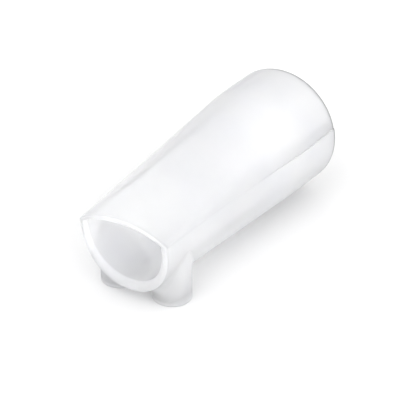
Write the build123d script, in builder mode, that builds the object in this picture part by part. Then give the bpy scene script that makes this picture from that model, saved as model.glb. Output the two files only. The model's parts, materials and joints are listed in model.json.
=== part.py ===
"""Saliva ejector tip: a translucent suction tip that slips over the end of a suction tube.

The tip is a round sleeve that tapers to a low lens-shaped mouth.  It stands on the bottom of
the sleeve and on two short hollow feet under the mouth.  The sleeve is an upper and a lower
half that lap along the side seams, and each foot keys into the lower half.

Frame, in millimetres: +Z up, the mouth faces -Y, the sleeve end faces +Y, and the origin is on
the floor in the middle of the tip.
"""

import os
from math import cos, radians, sin, tan

from build123d import *

os.makedirs("parts", exist_ok=True)

# Whole tip: its length along the axis, and how far the axis rises towards the mouth
TIP_LENGTH = 30.4
TIP_LEAN = 2.1

# Round end: the suction tube slides into the bore as far as the stop, a step in its wall
SLEEVE_RADIUS = 6.5
BORE_RADIUS = 5.5
BORE_DEPTH = 7.0
STOP_RADIUS = 5.0

# Taper: its two creases start on the round sleeve, this far up from the axis to each side
TAPER_START = 5.5
CREASE_ANGLE = 39

# Mouth: an arc over a half ellipse, which meet at the two side corners above the axis
CORNER_HEIGHT = 0.8
MOUTH_HALF_WIDTH = 5.2
MOUTH_RISE = 1.5
MOUTH_DEPTH = 6.9
MOUTH_SLANT = 10.4
SIDE_WALL = 0.75
TOP_WALL = 0.5
BOTTOM_WALL = 1.05

# Seam: from the mouth's corners to a point a little above the axis on the round end
SEAM_END_HEIGHT = 1.5
LAP_HEIGHT = 0.5

# Feet
FOOT_RADIUS = 2.0
FOOT_HOLLOW_RADIUS = 1.45
FOOT_SPACING = 6.3
FOOT_SETBACK = 4.15
FOOT_CEILING = 0.4
FOOT_ROUNDING = 0.15
KEY_RADIUS = 0.8

# Places that follow from the sizes above
LEAN = radians(TIP_LEAN)
SLANT = tan(radians(MOUTH_SLANT))
LIP_TOP = CORNER_HEIGHT + MOUTH_RISE
LIP_REACH = TIP_LENGTH + MOUTH_RISE * SLANT
REACH_FRONT = LIP_REACH * cos(LEAN) - LIP_TOP * sin(LEAN)
REACH_BACK = SLEEVE_RADIUS * sin(LEAN)
END_Y = (REACH_FRONT - REACH_BACK) / 2
END_Z = SLEEVE_RADIUS * cos(LEAN)
LOFT_END = TIP_LENGTH + 1.0

# The end plane looks along the axis from the round end to the mouth
end_plane = Plane(origin=(0, END_Y, END_Z), x_dir=(1, 0, 0), z_dir=(0, -cos(LEAN), sin(LEAN)))
along = end_plane.z_dir
upward = end_plane.y_dir
corner_middle = end_plane.origin + along * TIP_LENGTH + upward * CORNER_HEIGHT
seam_fall = (SEAM_END_HEIGHT - CORNER_HEIGHT) / TIP_LENGTH
mouth_plane = Plane(origin=corner_middle, x_dir=(1, 0, 0), z_dir=along - upward * SLANT)
seam_plane = Plane(origin=corner_middle, x_dir=(1, 0, 0), z_dir=upward + along * seam_fall)
foot_y = corner_middle.Y + FOOT_SETBACK
foot_reach = corner_middle.Z


def round_section(plane, radius):
    """Return a circle in four arcs, which meet at its top and bottom and at the creases."""
    crease = CREASE_ANGLE
    with BuildSketch(plane) as section:
        with BuildLine():
            CenterArc((0, 0), radius, start_angle=90, arc_size=crease - 90)
            CenterArc((0, 0), radius, start_angle=crease, arc_size=-90 - crease)
            CenterArc((0, 0), radius, start_angle=-90, arc_size=-90 - crease)
            CenterArc((0, 0), radius, start_angle=180 - crease, arc_size=crease - 90)
        make_face()
    return section.sketch


def mouth_section(plane, half_width, rise, depth):
    """Return the lens of the mouth: a low arc over a deep half ellipse."""
    middle = (0, CORNER_HEIGHT)
    top = (0, CORNER_HEIGHT + rise)
    with BuildSketch(plane) as section:
        with BuildLine():
            TangentArc(top, (half_width, CORNER_HEIGHT), tangent=(1, 0))
            EllipticalCenterArc(middle, half_width, depth, start_angle=0, arc_size=-90)
            EllipticalCenterArc(middle, half_width, depth, start_angle=-90, arc_size=-90)
            TangentArc(top, (-half_width, CORNER_HEIGHT), tangent=(-1, 0))
        make_face()
    return section.sketch


def half_tip_form(end_radius, taper_start, start_radius, inset):
    """Return the -X half of the solid inside one skin of the tip, to beyond the mouth.

    The inset is 0 at the outer skin and 1 at the wall of the passage.
    """
    straight = round_section(end_plane, end_radius)
    start = round_section(end_plane.offset(taper_start), start_radius)
    mouth = mouth_section(
        end_plane.offset(LOFT_END),
        MOUTH_HALF_WIDTH - SIDE_WALL * inset,
        MOUTH_RISE - TOP_WALL * inset,
        MOUTH_DEPTH - BOTTOM_WALL * inset,
    )
    with BuildPart() as form:
        extrude(straight, amount=taper_start)
        loft([start, mouth], ruled=True)
        split(bisect_by=Plane.YZ, keep=Keep.BOTTOM)
    return form.part


def foot_column(radius):
    """Return an upright round column at the left foot, up to the height of the corners."""
    with BuildPart() as column:
        with BuildSketch(Plane.XY):
            with Locations((-FOOT_SPACING / 2, foot_y)):
                Circle(radius)
        extrude(amount=foot_reach)
    return column.part


# The tip is the same on both sides, so each form is its -X half
outer_form = half_tip_form(SLEEVE_RADIUS, TAPER_START, SLEEVE_RADIUS, 0)
passage_form = half_tip_form(BORE_RADIUS, BORE_DEPTH, STOP_RADIUS, 1)
lap_form = half_tip_form(
    (SLEEVE_RADIUS + BORE_RADIUS) / 2,
    BORE_DEPTH,
    (SLEEVE_RADIUS + STOP_RADIUS) / 2,
    0.5,
)
ceiling_form = half_tip_form(
    SLEEVE_RADIUS + FOOT_CEILING,
    TAPER_START,
    SLEEVE_RADIUS + FOOT_CEILING,
    -FOOT_CEILING / SIDE_WALL,
)

# The inner half of the wall stands up from the lower half and laps behind the upper half
with BuildPart() as seam_lap:
    add(lap_form)
    add(passage_form, mode=Mode.SUBTRACT)
    split(bisect_by=seam_plane, keep=Keep.TOP)
    split(bisect_by=seam_plane.offset(LAP_HEIGHT), keep=Keep.BOTTOM)

with BuildPart() as upper_shell:
    add(outer_form)
    add(passage_form, mode=Mode.SUBTRACT)
    split(bisect_by=seam_plane, keep=Keep.TOP)
    split(bisect_by=mouth_plane, keep=Keep.BOTTOM)
    add(seam_lap.part, mode=Mode.SUBTRACT)
    mirror(about=Plane.YZ)
upper_shell.part.label = "upper_shell"
export_step(upper_shell.part, "parts/upper_shell.step")

with BuildPart() as lower_shell:
    add(outer_form)
    add(passage_form, mode=Mode.SUBTRACT)
    split(bisect_by=seam_plane, keep=Keep.BOTTOM)
    add(seam_lap.part)
    split(bisect_by=mouth_plane, keep=Keep.BOTTOM)
    add(foot_column(KEY_RADIUS) - lap_form, mode=Mode.SUBTRACT)
    mirror(about=Plane.YZ)
lower_shell.part.label = "lower_shell"
export_step(lower_shell.part, "parts/lower_shell.step")

# Each foot is open at the floor, its ceiling follows the lower half, and its key stands in a
# recess half the wall deep
with BuildPart() as left_foot:
    add(foot_column(FOOT_RADIUS))
    fillet(left_foot.edges().sort_by(Axis.Z)[0], FOOT_ROUNDING)
    add(outer_form, mode=Mode.SUBTRACT)
    add(foot_column(KEY_RADIUS) - lap_form)
    add(foot_column(FOOT_HOLLOW_RADIUS) - ceiling_form, mode=Mode.SUBTRACT)
left_foot.part.label = "left_foot"
export_step(left_foot.part, "parts/left_foot.step")

with BuildPart() as right_foot:
    mirror(left_foot.part, about=Plane.YZ)
right_foot.part.label = "right_foot"
export_step(right_foot.part, "parts/right_foot.step")
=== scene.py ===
"""Saliva ejector tip in milky translucent soft plastic, on a white floor in soft light.

The tip's skin is worked out in its own axes, in millimetres: x across, z up from the axis, and
t along the axis from the round end to the mouth.  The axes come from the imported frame.
"""

import json
import math

import bmesh
import bpy
import numpy as np
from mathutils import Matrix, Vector
from mathutils.bvhtree import BVHTree


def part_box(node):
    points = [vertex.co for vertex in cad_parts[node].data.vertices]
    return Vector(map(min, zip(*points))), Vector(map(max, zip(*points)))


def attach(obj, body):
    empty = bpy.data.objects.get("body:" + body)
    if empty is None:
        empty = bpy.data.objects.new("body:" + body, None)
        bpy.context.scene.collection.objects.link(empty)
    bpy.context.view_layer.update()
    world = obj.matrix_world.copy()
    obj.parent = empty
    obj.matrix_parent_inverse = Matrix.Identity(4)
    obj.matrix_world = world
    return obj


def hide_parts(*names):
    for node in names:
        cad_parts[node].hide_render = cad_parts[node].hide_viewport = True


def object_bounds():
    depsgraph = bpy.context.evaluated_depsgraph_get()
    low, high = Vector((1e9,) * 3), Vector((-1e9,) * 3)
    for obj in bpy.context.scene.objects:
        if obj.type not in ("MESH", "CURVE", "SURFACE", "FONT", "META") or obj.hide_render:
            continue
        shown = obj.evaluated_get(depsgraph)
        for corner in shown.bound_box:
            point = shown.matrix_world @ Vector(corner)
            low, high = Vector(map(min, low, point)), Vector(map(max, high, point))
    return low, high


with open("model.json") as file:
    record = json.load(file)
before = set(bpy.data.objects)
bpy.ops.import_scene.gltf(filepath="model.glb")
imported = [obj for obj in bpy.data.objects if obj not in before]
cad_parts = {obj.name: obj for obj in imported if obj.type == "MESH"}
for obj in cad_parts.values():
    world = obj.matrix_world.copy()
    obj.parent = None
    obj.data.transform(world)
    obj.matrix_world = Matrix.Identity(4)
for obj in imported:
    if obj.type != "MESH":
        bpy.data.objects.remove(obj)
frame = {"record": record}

MM = 0.001
cad_low, cad_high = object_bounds()

# ---------------------------------------------------------------- places, from the frame, in mm
bore = next(m for m in frame["record"]["mounts"] if m["name"] == "tube_bore")
BORE_RADIUS = bore["dims"]["r_mm"]
BORE_DEPTH = bore["dims"]["length_mm"]
BACK = np.array(bore["axis"], float)
ALONG = -BACK / np.linalg.norm(BACK)
UPWARD = np.array([0.0, ALONG[2], -ALONG[1]])
ACROSS = np.array([1.0, 0.0, 0.0])
END = np.array(bore["pos_m"], float) / MM - ALONG * BORE_DEPTH / 2
SLEEVE_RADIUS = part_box("lower_shell")[1].x / MM
foot_low, foot_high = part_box("right_foot")
FOOT_X = (foot_low.x + foot_high.x) / 2 / MM
FOOT_Y = (foot_low.y + foot_high.y) / 2 / MM
FOOT_RADIUS = (foot_high.x - foot_low.x) / 2 / MM

# ---------------------------------------------------------------- the tip's own sizes, in mm
TIP_LENGTH = 30.4
TAPER_START = 5.5
STOP_RADIUS = 5.0
CREASE_ANGLE = math.radians(39)
CORNER_HEIGHT = 0.8
MOUTH_HALF_WIDTH = 5.2
MOUTH_RISE = 1.5
MOUTH_DEPTH = 6.9
MOUTH_FULLNESS = 2.15
MOUTH_SLANT = math.tan(math.radians(10.4))
SIDE_WALL = 0.75
TOP_WALL = 0.5
BOTTOM_WALL = 1.05
LOFT_END = TIP_LENGTH + 1.0
SEAM_END_HEIGHT = 1.5
SEAM_FALL = (SEAM_END_HEIGHT - CORNER_HEIGHT) / TIP_LENGTH
SEAM_GAP = 0.008
LAP_HEIGHT = 0.5
FOOT_HOLLOW_RADIUS = 1.45
FOOT_CEILING = 0.4
FOOT_CEILING_DIP = 0.15

# Edges and creases, which the mould leaves soft
RIM_ROUNDING = 0.3
LIP_ROUNDING = 0.22
LIP_SIDE_ROUNDING = 0.42
LIP_SIDE_POWER = 4
LIP_BEVEL = 0.35
LIP_BEVEL_SETBACK = 3.0
SEAM_ROUNDING = 0.12
SEAM_ROUNDING_FAR = 0.01
SEAM_FADE = 14.0
SEAM_STEP = 0.09
CREASE_BLUR = 0.99
CREASE_BLUR_MOUTH = 0.14
TAPER_BLUR = 1.0
FOOT_ROUNDING = 0.25
FOOT_INNER_ROUNDING = 0.12

# The fillet over a foot is widest where the skin is level and at the foot's front
FILLET_SIZE = 1.1
FILLET_LEAST = 0.15
FILLET_FRONT = 0.6
FILLET_HEIGHT_LIMIT = 0.8
FILLET_PROUD = 0.004
CAP_CLEARANCE = 0.01

# ---------------------------------------------------------------- how the wall looks
# Solid is how little shows through: more where the wall is thick and at its cut edges
SOLID_SLEEVE = 0.8
SOLID_MOUTH = 0.42
SOLID_BOTTOM = 0.62
SOLID_EDGE = 0.85
SOLID_RING = 1.0
SOLID_FOOT = 0.74
SOLID_FOOT_TOP = 0.64
# Where two pieces are fused, their joint hardly shows
SOLID_JOINT = 0.1
SOLID_JOINT_RIM = 0.6
FILLET_FUSED = 0.3
# Painted light and shade: how much lighter or darker the plastic's colour is painted at each place
# Painted shade: the sleeve is painted darker
PAINTED_SHADE_SLEEVE = 0.88
# Painted light: the inner skin is painted lighter
PAINTED_LIGHT_INSIDE = 1.1
# Painted shade: the lip's rounding is painted darker
PAINTED_SHADE_LIP = 0.91
# Painted shade: the cut rim at the round end is painted dark
PAINTED_SHADE_RIM = 0.34
# Painted light: the feet are painted lighter
PAINTED_LIGHT_FOOT = 1.04
# Painted shadow: the bottom of each foot's hollow is painted dark, fading to plain higher up
PAINTED_SHADOW_HOLLOW_LOW = 0.12
PAINTED_SHADOW_HOLLOW_HIGH = 1.0

# How far these looks reach: from the rim, and up from the floor, in mm
SOLID_FADE_START = 6
SOLID_FADE_LENGTH = 16
# The sleeve's painted shade fades out over this stretch from the rim
SLEEVE_SHADE_FADE_START = 3
SLEEVE_SHADE_FADE_LENGTH = 9
# The hollow's painted shadow is full up to this height, then fades over the next
HOLLOW_SHADOW_HEIGHT = 0.5
HOLLOW_SHADOW_FADE_HEIGHT = 1.0
FOOT_FADE_HEIGHT = 3.0
RING_HEIGHT = 0.4
# And in times an edge's own size, or as a share
LIP_REACH = 1.5
RIM_REACH = 1.7
RING_REACH = 1.6
RIM_SHARE_INSIDE = 0.4
BOTTOM_SPREAD = 1.3

# The plastic's cloudy tint, from cool to white, and its noise, in cycles per metre
TINT_COOL = (0.85, 0.855, 0.885, 1)
TINT_WHITE = (0.885, 0.887, 0.896, 1)
TINT_RANGE = (0.35, 0.65)
CLOUD_SCALE = 160
CLOUD_DETAIL = 3
GRAIN_SCALE = 900
GRAIN_DETAIL = 4
GRAIN_ROUGHNESS = (0.3, 0.42)
GRAIN_STRENGTH = 0.05
GRAIN_HEIGHT = 0.1

# ---------------------------------------------------------------- how finely it is drawn
ARC_POINTS = 121
OVAL_POINTS = 301
SECTION_POINTS = 321
TABLE_STEP = 0.2
BLUR_SAMPLES = 9
SIDE_COLUMNS = 44
NEAR_SEAM = (0.0, 0.03, 0.07, 0.13, 0.25, LAP_HEIGHT)
LAP_SHARES = (1.0, 0.5)
SEAM_STEP_COLUMNS = 12
EDGE_STEPS = 7
SLANT_ROUNDS = 5
NORMAL_WEIGHT = 80
FOOT_SIDES = 96
FOOT_ANGLES = [2 * math.pi * k / FOOT_SIDES for k in range(FOOT_SIDES)]
CEILING_SHARES = (0.15, 0.5, 0.8, 1.0)
HOLLOW_STEPS = 5
INNER_TURNS = (30, 60, 90)
OUTER_TURNS = (90, 67.5, 45, 22.5, 0)
WALL_STEPS = 6
FILLET_STEPS = 8
CAP_SHARES = (0.98, 0.75, 0.5, 0.25, 0.08)
HOLLOW_RINGS = len(CEILING_SHARES) + HOLLOW_STEPS + 1

# ---------------------------------------------------------------- floor, light and camera
FLOOR_HALF = 1.5
FLOOR_LEVEL = -0.01 * MM
FLOOR_COLOUR = (0.8, 0.8, 0.8, 1)
FLOOR_ROUGHNESS = 0.9
WORLD_STRENGTH = 1.12
LIGHT_DISTANCE = 0.6
# Each light's name, azimuth and elevation in degrees, width in metres, and power in watts
LIGHTS = (
    ("key", 150, 36, 0.3, 0.22),
    ("fill", 62, 16, 0.5, 1.8),
    ("top", 0, 52, 0.4, 0.75),
)
CAMERA_AZIMUTH = 33.02
CAMERA_ELEVATION = 31.02
CAMERA_LENS = 225
CAMERA_SENSOR = 36
CAMERA_DISTANCE = 0.2564
CAMERA_RIGHT = -0.0006
CAMERA_UP = -0.0016
CAMERA_NEAR = 0.01
CAMERA_FAR = 10


# ---------------------------------------------------------------- curves
def evenly(curve, count):
    """Return a curve with its points spaced evenly along its length."""
    step = np.linalg.norm(np.diff(curve, axis=0), axis=1)
    run = np.concatenate([[0], np.cumsum(step)])
    wanted = np.linspace(0, run[-1], count)
    return np.stack([np.interp(wanted, run, curve[:, k]) for k in (0, 1)], -1)


def smoothed(curve, spread):
    """Return a half-section blurred along its length; it mirrors at its top and bottom."""
    reach = int(math.ceil(3 * spread))
    weight = np.exp(-0.5 * (np.arange(-reach, reach + 1) / spread) ** 2)
    weight /= weight.sum()
    flip = np.array([-1, 1])
    before = curve[1:reach + 1][::-1] * flip
    after = curve[-reach - 1:-1][::-1] * flip
    longer = np.concatenate([before, curve, after])
    return np.stack([np.convolve(longer[:, k], weight, "valid") for k in (0, 1)], -1)


def point_at_height(curve, height):
    """Return the index below a height, and the point at that height, on a half-section."""
    below = max(int(np.argmax(curve[:, 1] <= height)), 1)
    higher = curve[below - 1]
    share = (higher[1] - height) / (higher[1] - curve[below][1])
    return below, higher * (1 - share) + curve[below] * share


def rounding(distance, radius):
    """Return how far a rounded edge lies in from the skin, this far from the edge's end."""
    left = np.clip(radius - distance, 0, radius)
    return radius - np.sqrt(np.maximum(radius ** 2 - left ** 2, 0))


def ease(value):
    """Return 0 below 0 and 1 above 1, with a smooth step between."""
    value = np.clip(value, 0, 1)
    return value * value * (3 - 2 * value)


def mix(low, high, share):
    """Return the value this share of the way from low to high."""
    return low + (high - low) * share


def near_edge(distance, size, reach):
    """Return 1 at an edge and 0 from this many times its size away."""
    return ease(reach - distance / size)


# ---------------------------------------------------------------- the skins of the tip
def circle_section(radius):
    """Return the right half of a circle from top to bottom, cut at the crease."""
    upper = np.linspace(math.pi / 2, CREASE_ANGLE, ARC_POINTS)
    lower = np.linspace(CREASE_ANGLE, -math.pi / 2, OVAL_POINTS)[1:]
    angle = np.concatenate([upper, lower])
    return np.stack([radius * np.cos(angle), radius * np.sin(angle)], -1)


def mouth_section(half_width, rise, depth):
    """Return the right half of the mouth: a low arc, then a full half-oval."""
    radius = (half_width ** 2 + rise ** 2) / (2 * rise)
    swing = np.linspace(0, math.asin(half_width / radius), ARC_POINTS)
    turn = np.linspace(0, math.pi / 2, OVAL_POINTS)[1:]
    power = 2 / MOUTH_FULLNESS
    lower_x = half_width * np.clip(np.cos(turn), 0, 1) ** power
    lower_z = -depth * np.sin(turn) ** power
    x = np.concatenate([radius * np.sin(swing), lower_x])
    z = np.concatenate([radius * (np.cos(swing) - 1) + rise, lower_z])
    return np.stack([x, z + CORNER_HEIGHT], -1)


def skin_table(end_radius, start, start_radius, inset, blur=0.0):
    """Return one skin's half-sections at every station: a circle, then straight on to the mouth.

    The inset is 0 at the outer skin and 1 at the passage.  The crease is softened, and so is
    the kink at the start of the taper where a blur is given.
    """
    end = circle_section(end_radius)
    first = circle_section(start_radius)
    last = mouth_section(
        MOUTH_HALF_WIDTH - SIDE_WALL * inset,
        MOUTH_RISE - TOP_WALL * inset,
        MOUTH_DEPTH - BOTTOM_WALL * inset,
    )

    def plain(t):
        blend = (t - start) / (LOFT_END - start)
        return end if blend < 0 else first * (1 - blend) + last * blend

    steps = np.linspace(-2, 2, BLUR_SAMPLES)
    weight = np.exp(-0.5 * steps ** 2)
    weight /= weight.sum()
    table = []
    for t in np.arange(0.0, LOFT_END, TABLE_STEP):
        near = sum(w * plain(max(t + step * blur, 0.0)) for w, step in zip(weight, steps))
        curve = evenly(near, SECTION_POINTS)
        length = np.linalg.norm(np.diff(curve, axis=0), axis=1).sum()
        far = np.clip((TIP_LENGTH - t) / (TIP_LENGTH - start), 0, 1)
        spread = mix(CREASE_BLUR_MOUTH, CREASE_BLUR, far) * (SECTION_POINTS - 1) / length
        once = smoothed(curve, spread)
        table.append(2 * once - smoothed(once, spread))
    return np.array(table)


outer_skin = skin_table(SLEEVE_RADIUS, TAPER_START, SLEEVE_RADIUS, 0, blur=TAPER_BLUR)
inner_skin = skin_table(BORE_RADIUS, BORE_DEPTH, STOP_RADIUS, 1)
lap_skin = (outer_skin + inner_skin) / 2


def read_table(table, t):
    """Return a table's points, (rows, columns, 2), at the places t, (rows, columns)."""
    place = np.clip(t / TABLE_STEP, 0, len(table) - 1.001)
    low = place.astype(int)
    share = (place - low)[..., None]
    column = np.arange(table.shape[1])
    return table[low, column] * (1 - share) + table[low + 1, column] * share


def side_columns(skin, upper):
    """Return a skin's columns on the right, from the seam to the middle, at every station."""
    if upper:
        heights = [SEAM_GAP / 2 + h for h in NEAR_SEAM]
    else:
        heights = [LAP_HEIGHT * share - SEAM_GAP / 2 for share in LAP_SHARES]
        heights += [-SEAM_GAP / 2 - h for h in NEAR_SEAM]
    table = []
    for number, section in enumerate(skin):
        seam = SEAM_END_HEIGHT - SEAM_FALL * number * TABLE_STEP
        near = [point_at_height(section, seam + h)[1] for h in heights]
        below, _ = point_at_height(section, seam + heights[-1])
        rest = section[:below][::-1] if upper else section[below:]
        rest = evenly(np.concatenate([[near[-1]], rest]), SIDE_COLUMNS)
        table.append(np.concatenate([near, rest[1:]]))
    return np.array(table)


def row_places():
    """Return the rows' places along the tip, closer together where the two ends are rounded."""
    turn = np.linspace(math.pi / 2, 0, EDGE_STEPS + 1)
    rim = RIM_ROUNDING * (1 - np.sin(turn))
    lip = LIP_SIDE_ROUNDING * (1 - np.sin(turn))
    middle = np.arange(2 * TABLE_STEP, TIP_LENGTH - TABLE_STEP / 2 - lip[-1], TABLE_STEP)
    return np.concatenate([rim, middle, TIP_LENGTH - lip[::-1]])


def row_grid(table, places, back):
    """Return t for each row and column, so that the last row lies on the slanted mouth.

    The rows start to lean over two thirds of the way along, and lean fully 1 mm from the lip.
    """
    end = np.full(table.shape[1], TIP_LENGTH)
    for _ in range(SLANT_ROUNDS):
        height = read_table(table, end[None])[0, :, 1]
        end = TIP_LENGTH + (height - CORNER_HEIGHT) * MOUTH_SLANT - back
    begin = TIP_LENGTH * 2 / 3
    weight = ease((places - begin) / (TIP_LENGTH - 1 - begin))
    return places[:, None] + weight[:, None] * (end - TIP_LENGTH)


def towards(points, aim, distance):
    """Return points moved by a distance, in mm, towards their aims."""
    way = aim - points
    length = np.maximum(np.linalg.norm(way, axis=-1, keepdims=True), 1e-6)
    return points + way * (distance[..., None] / length)


def plain_skins(upper):
    """Return one half's outer, lap and inner skins as x, z and t, with sharp edges."""
    tables = [side_columns(skin, upper) for skin in (outer_skin, lap_skin, inner_skin)]
    station = round((TIP_LENGTH - LIP_BEVEL_SETBACK) / TABLE_STEP)
    wall = np.linalg.norm(tables[0][station] - tables[2][station], axis=-1)
    bevel = LIP_BEVEL * (wall / BOTTOM_WALL) ** 2
    square = np.zeros(len(bevel))
    skins = []
    for table, back in zip(tables, (square, square, bevel)):
        t = row_grid(table, row_places(), back)
        skins.append(np.concatenate([read_table(table, t), t[..., None]], -1))
    return skins


def seam_edge(from_rim, count, upper):
    """Return how far the outer skin lies in beside the seam, which fades towards the mouth."""
    fade = np.clip(1 - from_rim / SEAM_FADE, 0, 1)
    lead = 0 if upper else len(LAP_SHARES)
    from_seam = np.full(count, np.inf)
    from_seam[lead:lead + len(NEAR_SEAM)] = NEAR_SEAM
    seam = rounding(from_seam[None], mix(SEAM_ROUNDING_FAR, SEAM_ROUNDING, fade))
    if upper:
        return seam
    run = np.maximum(np.arange(count) - lead, 0)
    return seam - SEAM_STEP * fade * np.exp(-0.5 * (run / SEAM_STEP_COLUMNS) ** 2)


def half_nodes(upper):
    """Return one half's nodes, (skins, rows, columns, 3), as x, z and t in millimetres."""
    outer, lap, inner = plain_skins(upper)
    count = outer.shape[1]
    from_rim = row_places()[:, None] + np.zeros(count)
    from_lip = TIP_LENGTH - from_rim
    aside = (np.abs(outer[-1, :, 0]) / MOUTH_HALF_WIDTH) ** LIP_SIDE_POWER
    lip_radius = mix(LIP_ROUNDING, LIP_SIDE_ROUNDING, aside)
    edge = np.maximum(rounding(from_rim, RIM_ROUNDING), rounding(from_lip, lip_radius))
    inner_edge = np.maximum(rounding(from_rim, RIM_ROUNDING), rounding(from_lip, LIP_ROUNDING))
    outer = towards(outer, lap, edge + seam_edge(from_rim, count, upper))
    inner = towards(inner, lap, inner_edge)
    gap = np.zeros(count)
    gap[:(len(NEAR_SEAM) if upper else len(LAP_SHARES) + 1)] = SEAM_GAP / 2
    lap = towards(lap, outer if upper else inner, gap)
    nodes = np.stack([outer, lap, inner])
    mirrored = nodes[:, :, -2::-1] * np.array([-1, 1, 1])
    return np.concatenate([nodes, mirrored], axis=2)


def half_looks(shape, upper):
    """Return how solid each node of one half is, and the light and shade painted on it.

    The two halves fuse in the lap, so little of it is seen, and less of it towards the mouth.
    """
    places = row_places()[None, :, None] + np.zeros(shape)
    lip = near_edge(TIP_LENGTH - places, LIP_ROUNDING, LIP_REACH)
    rim = near_edge(places, RIM_ROUNDING, RIM_REACH)
    rim[1:] *= RIM_SHARE_INSIDE

    # Painted shade: the sleeve, the lip and the rim are painted darker
    straight = 1 - ease((places - SLEEVE_SHADE_FADE_START) / SLEEVE_SHADE_FADE_LENGTH)
    painted_shading = 1 + (PAINTED_SHADE_SLEEVE - 1) * straight + (PAINTED_SHADE_LIP - 1) * lip + (PAINTED_SHADE_RIM - 1) * rim
    # Painted light: the inner skin is lighter
    painted_shading[2] *= PAINTED_LIGHT_INSIDE

    sleeve = 1 - ease((places - SOLID_FADE_START) / SOLID_FADE_LENGTH)
    across = np.linspace(-1, 1, shape[2])
    bottom = np.zeros(shape[2]) if upper else ease(BOTTOM_SPREAD * (1 - np.abs(across)))
    solid = mix(mix(SOLID_MOUTH, SOLID_BOTTOM, bottom), SOLID_SLEEVE, sleeve)
    solid = mix(solid, SOLID_EDGE, np.maximum(lip, rim))
    fused = mix(SOLID_JOINT, SOLID_JOINT_RIM, ease(1 - places[1] / SEAM_FADE))
    fused = mix(fused, SOLID_EDGE, np.maximum(lip[1], rim[1]))
    joint = len(NEAR_SEAM) if upper else len(LAP_SHARES) + 1
    solid[1, :, :joint] = fused[:, :joint]
    solid[1, :, -joint:] = fused[:, -joint:]
    return solid, painted_shading


def to_world(nodes):
    """Return nodes given as x, z and t in the row's frame, in metres."""
    x, z, t = (nodes[..., k, None] for k in range(3))
    return (END + ACROSS * x + UPWARD * z + ALONG * t) * MM


def half_faces(shape, upper):
    """Return the faces that close one half's wall, a lap step along both of its seams."""
    _, rows, columns = shape
    lead = len(NEAR_SEAM) - 1 if upper else len(LAP_SHARES)
    filled = np.ones((2, columns - 1), bool)
    bare = 1 if upper else 0
    filled[bare, :lead] = False
    filled[bare, -lead:] = False
    faces = []

    def node(skin, row, column):
        return (skin * rows + row) * columns + column

    def skin_faces(skin, column):
        for row in range(rows - 1):
            faces.append((
                node(skin, row, column),
                node(skin, row, column + 1),
                node(skin, row + 1, column + 1),
                node(skin, row + 1, column),
            ))

    def side_faces(layer, column):
        for row in range(rows - 1):
            faces.append((
                node(layer, row, column),
                node(layer + 1, row, column),
                node(layer + 1, row + 1, column),
                node(layer, row + 1, column),
            ))

    def end_faces(layer, column):
        for row in (0, rows - 1):
            faces.append((
                node(layer, row, column),
                node(layer, row, column + 1),
                node(layer + 1, row, column + 1),
                node(layer + 1, row, column),
            ))

    for column in range(columns - 1):
        if filled[0, column]:
            skin_faces(0, column)
        if filled[1, column]:
            skin_faces(2, column)
        if filled[0, column] != filled[1, column]:
            skin_faces(1, column)
        for layer in (0, 1):
            if filled[layer, column]:
                end_faces(layer, column)
    for layer in (0, 1):
        row_of_cells = np.concatenate([[False], filled[layer], [False]])
        for column in np.flatnonzero(row_of_cells[1:] != row_of_cells[:-1]):
            side_faces(layer, int(column))
    return faces


def make_object(name, points, faces, solid, painted_shading):
    """Return an object with a smooth closed mesh, its normals outwards and nothing loose."""
    mesh = bpy.data.meshes.new(name)
    mesh.from_pydata(points, [], faces)
    # The mesh holds how solid each point is, and the light and shade painted on it
    for look, values in (("solid", solid), ("painted_shading", painted_shading)):
        attribute = mesh.attributes.new(look, "FLOAT", "POINT")
        attribute.data.foreach_set("value", np.asarray(values, np.float32).ravel())
    shape = bmesh.new()
    shape.from_mesh(mesh)
    bmesh.ops.delete(shape, geom=[v for v in shape.verts if not v.link_faces], context="VERTS")
    bmesh.ops.recalc_face_normals(shape, faces=shape.faces)
    for face in shape.faces:
        face.smooth = True
    shape.to_mesh(mesh)
    shape.free()
    piece = bpy.data.objects.new(name, mesh)
    bpy.context.scene.collection.objects.link(piece)
    weighted = piece.modifiers.new("weighted_normals", "WEIGHTED_NORMAL")
    weighted.weight = NORMAL_WEIGHT
    return piece


def make_half(name, upper):
    """Return one half's object, and its nodes in metres."""
    nodes = half_nodes(upper)
    points = to_world(nodes)
    faces = half_faces(nodes.shape[:3], upper)
    solid, painted_shading = half_looks(nodes.shape[:3], upper)
    piece = make_object(name, points.reshape(-1, 3).tolist(), faces, solid, painted_shading)
    return piece, points


# ---------------------------------------------------------------- feet
def skin_tree(points):
    """Return a search tree of one half's outer skin, in metres."""
    rows, columns, _ = points.shape
    faces = [
        (r * columns + c, r * columns + c + 1, (r + 1) * columns + c + 1, (r + 1) * columns + c)
        for r in range(rows - 1)
        for c in range(columns - 1)
    ]
    return BVHTree.FromPolygons(points.reshape(-1, 3).tolist(), faces)


def plan(centre_x, radius, angle):
    """Return a place on the floor at a radius and angle from a foot's middle, in metres."""
    x = centre_x + radius * MM * math.cos(angle)
    y = (FOOT_Y + radius * math.sin(angle)) * MM
    return x, y


def above(tree, x, y):
    """Return the skin's place and normal straight above a place on the floor, in metres.

    Past the skin's edge it is the nearest place on the skin, seen from 5 mm up.
    """
    place, normal, _, _ = tree.ray_cast(Vector((x, y, -10 * MM)), Vector((0, 0, 1)))
    if place is None:
        place, normal, _, _ = tree.find_nearest(Vector((x, y, 5 * MM)))
    return place, normal if normal.z < 0 else -normal


def skin_ring(tree, centre_x, radius, drop):
    """Return a ring that follows the skin from below, this far under it in mm."""
    ring = []
    for angle in FOOT_ANGLES:
        place, _ = above(tree, *plan(centre_x, radius, angle))
        ring.append(place - Vector((0, 0, drop * MM)))
    return ring


def level_ring(centre_x, radius, height):
    """Return a level ring round a foot's middle."""
    return [Vector((*plan(centre_x, radius, angle), height * MM)) for angle in FOOT_ANGLES]


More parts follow.
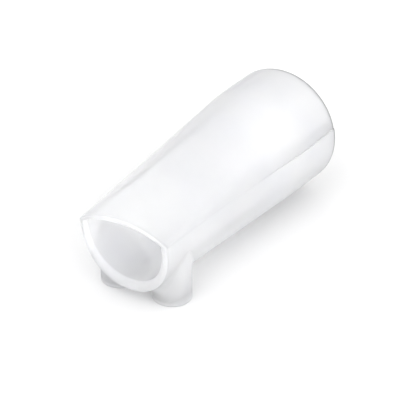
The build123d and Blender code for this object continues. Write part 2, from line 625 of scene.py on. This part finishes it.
def risen(ring, low, share):
    """Return a ring this share of the way up from a low height, in mm, to a ring above."""
    return [Vector((p.x, p.y, mix(low * MM, p.z, share))) for p in ring]


def hollow_rings(tree, centre_x):
    """Return the rings of a foot's hollow, from the middle of its ceiling down its wall."""
    rings = []
    for share in CEILING_SHARES:
        drop = FOOT_CEILING + (FOOT_CEILING_DIP if share == 1.0 else 0)
        rings.append(skin_ring(tree, centre_x, FOOT_HOLLOW_RADIUS * share, drop))
    top = rings[-1]
    for k in range(1, HOLLOW_STEPS + 1):
        rings.append(risen(top, FOOT_INNER_ROUNDING, 1 - k / HOLLOW_STEPS))
    return rings


def bottom_rings(centre_x):
    """Return the rings of a foot's bottom edge, rounded on its inside and its outside."""
    rings = []
    for turn in INNER_TURNS:
        out = FOOT_INNER_ROUNDING * (1 - math.cos(math.radians(turn)))
        height = FOOT_INNER_ROUNDING * (1 - math.sin(math.radians(turn)))
        rings.append(level_ring(centre_x, FOOT_HOLLOW_RADIUS + out, height))
    for turn in OUTER_TURNS:
        back = FOOT_ROUNDING * (1 - math.cos(math.radians(turn)))
        height = FOOT_ROUNDING * (1 - math.sin(math.radians(turn)))
        rings.append(level_ring(centre_x, FOOT_RADIUS - back, height))
    return rings


def fillet_ends(tree, centre_x):
    """Return the fillet's start on the foot, its corner, and its end on the skin, all round."""
    starts, corners, ends = [], [], []
    for angle in FOOT_ANGLES:
        place, normal = above(tree, *plan(centre_x, FOOT_RADIUS, angle))
        outwards = Vector((math.cos(angle), math.sin(angle), 0))
        along_skin = (outwards * -normal.z + Vector((0, 0, outwards.dot(normal)))).normalized()
        size = FILLET_SIZE * MM * mix(FILLET_LEAST, 1, along_skin.dot(outwards))
        size *= 1 + FILLET_FRONT * max(-outwards.y, 0)
        size = min(size, FILLET_HEIGHT_LIMIT * (place.z - FOOT_ROUNDING * MM))
        far, far_normal, _, _ = tree.find_nearest(place + along_skin * size)
        corners.append(place)
        ends.append(far + far_normal.normalized() * (FILLET_PROUD * MM))
        starts.append(place - Vector((0, 0, size)))
    return starts, corners, ends


def wall_rings(tree, centre_x):
    """Return the rings of a foot's outside, up its wall and over its fillet."""
    starts, corners, ends = fillet_ends(tree, centre_x)
    rings = []
    for k in range(1, WALL_STEPS + 1):
        rings.append(risen(starts, FOOT_ROUNDING, k / WALL_STEPS))
    for k in range(1, FILLET_STEPS + 1):
        s = k / FILLET_STEPS
        ring = []
        for start, corner, end in zip(starts, corners, ends):
            ring.append(start * (1 - s) ** 2 + corner * 2 * s * (1 - s) + end * s * s)
        rings.append(ring)
    return rings


def foot_rings(tree, centre_x):
    """Return the foot's rings, from the middle of the hollow's ceiling out and over its wall."""
    rings = hollow_rings(tree, centre_x) + bottom_rings(centre_x) + wall_rings(tree, centre_x)
    for share in CAP_SHARES:
        rings.append(skin_ring(tree, centre_x, FOOT_RADIUS * share, CAP_CLEARANCE))
    return rings


def ring_faces(rings):
    """Return the faces between rings, and round a middle point inside the first and the last."""
    faces = []
    for ring in range(rings):
        low = ring * FOOT_SIDES
        for k in range(FOOT_SIDES):
            n = (k + 1) % FOOT_SIDES
            if ring < rings - 1:
                faces.append((low + k, low + n, low + FOOT_SIDES + n, low + FOOT_SIDES + k))
            if ring in (0, rings - 1):
                middle = rings * FOOT_SIDES + (1 if ring else 0)
                faces.append((low + k, low + n, middle))
    return faces


def foot_looks(points, rings):
    """Return how solid each point of a foot is, and the light and shade painted on it.

    The hollow's bottom is painted dark as shadow, the rest of the foot is painted lighter, and the
    ring that the foot stands on is solid.
    """
    height = np.array([p[2] for p in points]) / MM
    hollow = np.zeros(len(points), bool)
    hollow[:HOLLOW_RINGS * FOOT_SIDES] = True
    share = ease((height - HOLLOW_SHADOW_HEIGHT) / HOLLOW_SHADOW_FADE_HEIGHT)
    # Painted shadow darkens the bottom of the hollow; painted light lightens the rest of the foot
    painted_shading = np.where(hollow, mix(PAINTED_SHADOW_HOLLOW_LOW, PAINTED_SHADOW_HOLLOW_HIGH, share), PAINTED_LIGHT_FOOT)
    solid = mix(SOLID_FOOT, SOLID_FOOT_TOP, ease(height / FOOT_FADE_HEIGHT))
    solid = mix(solid, SOLID_RING, np.where(hollow, 0, near_edge(height, RING_HEIGHT, RING_REACH)))
    fused = np.zeros(rings)
    cap = len(CAP_SHARES)
    fused[-FILLET_STEPS - cap:-cap] = np.linspace(0, FILLET_FUSED, FILLET_STEPS)
    fused[-cap:] = 1
    fused = np.append(np.repeat(fused, FOOT_SIDES), (0, 1))
    return mix(solid, SOLID_JOINT, fused), painted_shading


def make_foot(name, tree, centre_x):
    """Return one foot: a closed solid, from rings that meet in the middle at both ends."""
    rings = foot_rings(tree, centre_x)
    points = [tuple(p) for ring in rings for p in ring]
    for ring in (rings[0], rings[-1]):
        points.append(tuple(sum(ring, Vector()) / FOOT_SIDES))
    solid, painted_shading = foot_looks(points, len(rings))
    return make_object(name, points, ring_faces(len(rings)), solid, painted_shading)


upper_half, _ = make_half("upper_half", True)
lower_half, lower_points = make_half("lower_half", False)
lap_columns = len(LAP_SHARES)
lower_tree = skin_tree(lower_points[0][:, lap_columns:-lap_columns])
right_foot = make_foot("right_foot_moulding", lower_tree, FOOT_X * MM)
left_foot = make_foot("left_foot_moulding", lower_tree, -FOOT_X * MM)


# ---------------------------------------------------------------- material
def noise(tree, scale, detail):
    """Return the output of a noise over the piece's own space."""
    place = tree.nodes.new("ShaderNodeTexCoord")
    cloud = tree.nodes.new("ShaderNodeTexNoise")
    cloud.inputs["Scale"].default_value = scale
    cloud.inputs["Detail"].default_value = detail
    tree.links.new(place.outputs["Object"], cloud.inputs["Vector"])
    return cloud.outputs["Fac"]


def mesh_value(tree, name):
    """Return the output of a value that the mesh holds at each point."""
    value = tree.nodes.new("ShaderNodeAttribute")
    value.attribute_name = name
    return value.outputs["Fac"]


def add_cloudy_colour_and_painted_shading(tree, shader):
    """Give a shader the cloudy tint, painted lighter or darker by each point's painted light and
    shade.
    """
    tint = tree.nodes.new("ShaderNodeValToRGB")
    for element, position, colour in zip(
        tint.color_ramp.elements, TINT_RANGE, (TINT_COOL, TINT_WHITE)
    ):
        element.position = position
        element.color = colour
    shaded_tint = tree.nodes.new("ShaderNodeVectorMath")
    shaded_tint.operation = "SCALE"
    tree.links.new(noise(tree, CLOUD_SCALE, CLOUD_DETAIL), tint.inputs["Fac"])
    tree.links.new(tint.outputs["Color"], shaded_tint.inputs["Vector"])
    # Painted light and shade from the mesh scale the tint
    tree.links.new(mesh_value(tree, "painted_shading"), shaded_tint.inputs["Scale"])
    tree.links.new(shaded_tint.outputs["Vector"], shader.inputs["Base Color"])


def add_grain(tree, shader):
    """Give a shader a fine grain in its roughness and its surface."""
    grain = noise(tree, GRAIN_SCALE, GRAIN_DETAIL)
    gloss = tree.nodes.new("ShaderNodeMapRange")
    gloss.inputs["To Min"].default_value = GRAIN_ROUGHNESS[0]
    gloss.inputs["To Max"].default_value = GRAIN_ROUGHNESS[1]
    tree.links.new(grain, gloss.inputs["Value"])
    tree.links.new(gloss.outputs["Result"], shader.inputs["Roughness"])
    bump = tree.nodes.new("ShaderNodeBump")
    bump.inputs["Strength"].default_value = GRAIN_STRENGTH
    bump.inputs["Distance"].default_value = GRAIN_HEIGHT * MM
    tree.links.new(grain, bump.inputs["Height"])
    tree.links.new(bump.outputs["Normal"], shader.inputs["Normal"])


def milky_plastic(name):
    """Return a soft moulded plastic, milky and a little see-through."""
    material = bpy.data.materials.new(name)
    material.use_nodes = True
    tree = material.node_tree
    shader = tree.nodes["Principled BSDF"]
    add_cloudy_colour_and_painted_shading(tree, shader)
    add_grain(tree, shader)
    tree.links.new(mesh_value(tree, "solid"), shader.inputs["Alpha"])
    shader.inputs["Transmission Weight"].default_value = 0.45
    shader.inputs["Subsurface Weight"].default_value = 0.5
    shader.inputs["Subsurface Radius"].default_value = (1.0, 1.0, 1.05)
    shader.inputs["Subsurface Scale"].default_value = 2.0 * MM
    shader.inputs["IOR"].default_value = 1.45
    return material


plastic = milky_plastic("milky_plastic")
PIECES = (
    (upper_half, "upper_shell", "shell"),
    (lower_half, "lower_shell", "shell"),
    (left_foot, "left_foot", "feet"),
    (right_foot, "right_foot", "feet"),
)
for piece, node, slot in PIECES:
    piece.data.materials.append(plastic)
    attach(piece, "root")
    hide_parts(node)


# ---------------------------------------------------------------- floor, light and camera
def white_paper():
    """Return the floor's matt white material."""
    material = bpy.data.materials.new("white_paper")
    material.use_nodes = True
    shader = material.node_tree.nodes["Principled BSDF"]
    shader.inputs["Base Color"].default_value = FLOOR_COLOUR
    shader.inputs["Roughness"].default_value = FLOOR_ROUGHNESS
    shader.inputs["Specular IOR Level"].default_value = 0.0
    return material


def make_floor():
    """Make a square floor just under the tip."""
    mesh = bpy.data.meshes.new("floor")
    outline = ((-1, -1), (1, -1), (1, 1), (-1, 1))
    corners = [(x * FLOOR_HALF, y * FLOOR_HALF, FLOOR_LEVEL) for x, y in outline]
    mesh.from_pydata(corners, [], [(0, 1, 2, 3)])
    mesh.materials.append(white_paper())
    floor = bpy.data.objects.new("floor", mesh)
    bpy.context.scene.collection.objects.link(floor)


def direction(azimuth, elevation):
    """Return the unit vector towards an azimuth and elevation, in degrees."""
    a = math.radians(azimuth)
    e = math.radians(elevation)
    return Vector((math.sin(a) * math.cos(e), -math.cos(a) * math.cos(e), math.sin(e)))


def make_light(name, azimuth, elevation, size, power):
    """Make a round soft light that shines on the tip from a direction."""
    data = bpy.data.lights.new(name, "AREA")
    data.shape = "DISK"
    data.size = size
    data.energy = power
    light = bpy.data.objects.new(name, data)
    towards_light = direction(azimuth, elevation)
    light.location = towards_light * LIGHT_DISTANCE
    light.rotation_mode = "QUATERNION"
    light.rotation_quaternion = towards_light.to_track_quat("Z", "Y")
    bpy.context.scene.collection.objects.link(light)


def make_world():
    """Make the plain white surroundings."""
    world = bpy.data.worlds.new("studio")
    world.use_nodes = True
    background = world.node_tree.nodes["Background"]
    background.inputs["Color"].default_value = (1, 1, 1, 1)
    background.inputs["Strength"].default_value = WORLD_STRENGTH
    bpy.context.scene.world = world


def make_camera():
    """Make the camera, at the viewing angle and nearness that give the tip its perspective."""
    data = bpy.data.cameras.new("camera")
    data.lens = CAMERA_LENS
    data.sensor_width = CAMERA_SENSOR
    data.clip_start = CAMERA_NEAR
    data.clip_end = CAMERA_FAR
    camera = bpy.data.objects.new("camera", data)
    back = direction(CAMERA_AZIMUTH, CAMERA_ELEVATION)
    right = direction(CAMERA_AZIMUTH + 90, 0)
    up = back.cross(right)
    centre = (cad_low + cad_high) / 2
    aim = centre + right * CAMERA_RIGHT + up * CAMERA_UP
    camera.location = aim + back * CAMERA_DISTANCE
    camera.rotation_mode = "QUATERNION"
    camera.rotation_quaternion = back.to_track_quat("Z", "Y")
    bpy.context.scene.collection.objects.link(camera)
    bpy.context.scene.camera = camera


make_floor()
make_world()
for light in LIGHTS:
    make_light(*light)
make_camera()
bpy.context.scene.view_settings.view_transform = "Standard"
